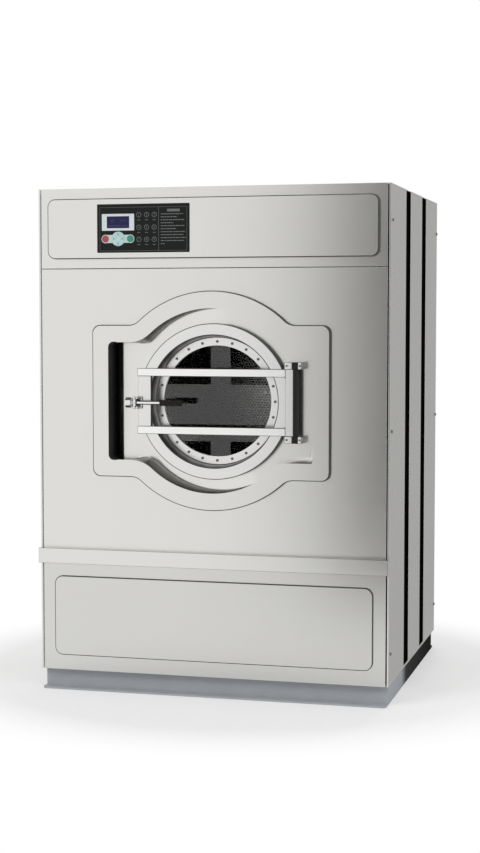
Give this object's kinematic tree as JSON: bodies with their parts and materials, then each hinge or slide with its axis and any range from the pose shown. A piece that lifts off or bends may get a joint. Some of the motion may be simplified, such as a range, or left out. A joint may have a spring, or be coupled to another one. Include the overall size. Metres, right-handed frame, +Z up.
{
  "type": "industrial washing machine",
  "caption": "Free-standing front-loading industrial washing machine: stainless cabinet, round glazed door with crossbars and lever latch, keypad, drum and belt drive.",
  "frame": {"origin": "on the floor, under the middle of the machine's outline", "axes": "+Z up, the front with the door faces -Y, +X to the right seen from the front"},
  "size_m": [1.112, 1.0986, 1.564],
  "materials": {
    "satin_steel": "satin brushed stainless sheet",
    "bright_steel": "fine ground stainless",
    "drum_steel": "perforated stainless sheet",
    "base_paint": "blue grey satin paint",
    "dark_channel": "dark grey satin paint",
    "black_plastic": "moulded black plastic",
    "black_steel": "blackened steel",
    "grip_plastic": "ribbed dark brown plastic",
    "door_glass": "clear tempered glass",
    "seal_rubber": "moulded grey rubber",
    "belt_rubber": "wedge belt",
    "bolt_steel": "turned steel",
    "keypad_film": "printed black satin film",
    "display_film": "white frame round a blue violet screen",
    "stop_red": "red key cap",
    "start_green": "green key cap",
    "nav_teal": "pale teal key cap",
    "enter_white": "white key cap",
    "board_green": "circuit board",
    "cast_grey": "turned grey iron",
    "motor_paint": "blue grey motor paint",
    "bearing_steel": "ground bearing steel",
    "brass": "turned brass",
    "grey_plastic": "moulded grey plastic"
  },
  "bodies": {
    "cabinet": {"header_panel": "satin_steel", "front_panel": "satin_steel", "lower_panel": "satin_steel", "header_fascia": "satin_steel", "access_panel": "satin_steel", "belt_trim": "satin_steel", "side_panels": "satin_steel", "top_panel": "satin_steel", "rear_panel": "satin_steel", "door_surround": "satin_steel", "hinge_brackets": "bright_steel", "tub_shell": "bright_steel", "tub_front": "bright_steel", "tub_rear": "bright_steel", "heater_rods": "bright_steel", "base_rails": "base_paint", "tub_cradles": "base_paint", "motor_mount": "base_paint", "corner_posts": "base_paint", "side_bands": "dark_channel", "hand_pocket": "black_plastic", "door_lock": "black_plastic", "cable_gland": "black_plastic", "drain_valve": "black_plastic", "hinge_pin": "black_steel", "door_gasket": "seal_rubber", "shaft_seal": "seal_rubber", "inlet_hoses": "seal_rubber", "drive_belts": "belt_rubber", "panel_screws": "bolt_steel", "keypad": "keypad_film", "display": "display_film", "control_board": "board_green", "motor": "motor_paint", "shaft_bearings": "bearing_steel", "inlet_valves": "brass", "inverter_drive": "grey_plastic", "drain_pipe": "grey_plastic"},
    "door": {"door_dish": "bright_steel", "glass_clamp_ring": "bright_steel", "glass_seal": "seal_rubber", "door_glass": "door_glass", "clamp_bolts": "bolt_steel", "door_bars": "bright_steel", "door_end_plates": "bright_steel", "hinge_tube": "black_steel", "latch_bracket": "bright_steel"},
    "lever": {"latch_lever": "bright_steel", "lever_grip": "grip_plastic"},
    "drum": {"drum_shell": "drum_steel", "drum_back_plate": "drum_steel", "drum_lifters": "drum_steel", "drum_shaft": "bright_steel", "drum_pulley": "cast_grey"},
    "motor_rotor": {"motor_pulley": "cast_grey"},
    "stop_button": {"stop_key": "stop_red"},
    "start_button": {"start_key": "start_green"},
    "nav_button": {"nav_pad": "nav_teal"},
    "enter_button": {"enter_key": "enter_white"}
  },
  "joints": [
    {"name": "door_hinge", "type": "hinge", "parent": "cabinet", "child": "door", "pos_m": [0.277, -0.51275, 0.914], "axis": [0, 0, 1], "range_deg": [0, 115]},
    {"name": "lever_pivot", "type": "hinge", "parent": "door", "child": "lever", "pos_m": [-0.217, -0.53575, 0.91], "axis": [0, 0, -1], "range_deg": [0, 45]},
    {"name": "drum_spin", "type": "hinge", "parent": "cabinet", "child": "drum", "pos_m": [0.021, 0.37325, 0.914], "axis": [0, 1, 0], "continuous": true},
    {"name": "motor_spin", "type": "hinge", "parent": "cabinet", "child": "motor_rotor", "pos_m": [0.221, 0.37325, 0.212], "axis": [0, 1, 0], "continuous": true},
    {"name": "stop_press", "type": "slide", "parent": "cabinet", "child": "stop_button", "axis": [0, 1, 0], "range_m": [0, 0.0012], "stiffness_N_per_m": 800},
    {"name": "start_press", "type": "slide", "parent": "cabinet", "child": "start_button", "axis": [0, 1, 0], "range_m": [0, 0.0012], "stiffness_N_per_m": 800},
    {"name": "nav_press", "type": "slide", "parent": "cabinet", "child": "nav_button", "axis": [0, 1, 0], "range_m": [0, 0.0012], "stiffness_N_per_m": 800},
    {"name": "enter_press", "type": "slide", "parent": "cabinet", "child": "enter_button", "axis": [0, 1, 0], "range_m": [0, 0.0012], "stiffness_N_per_m": 800}
  ],
  "couplings": [
    {"joint": "motor_spin", "follows": "drum_spin", "ratio": 4.3482}
  ]
}
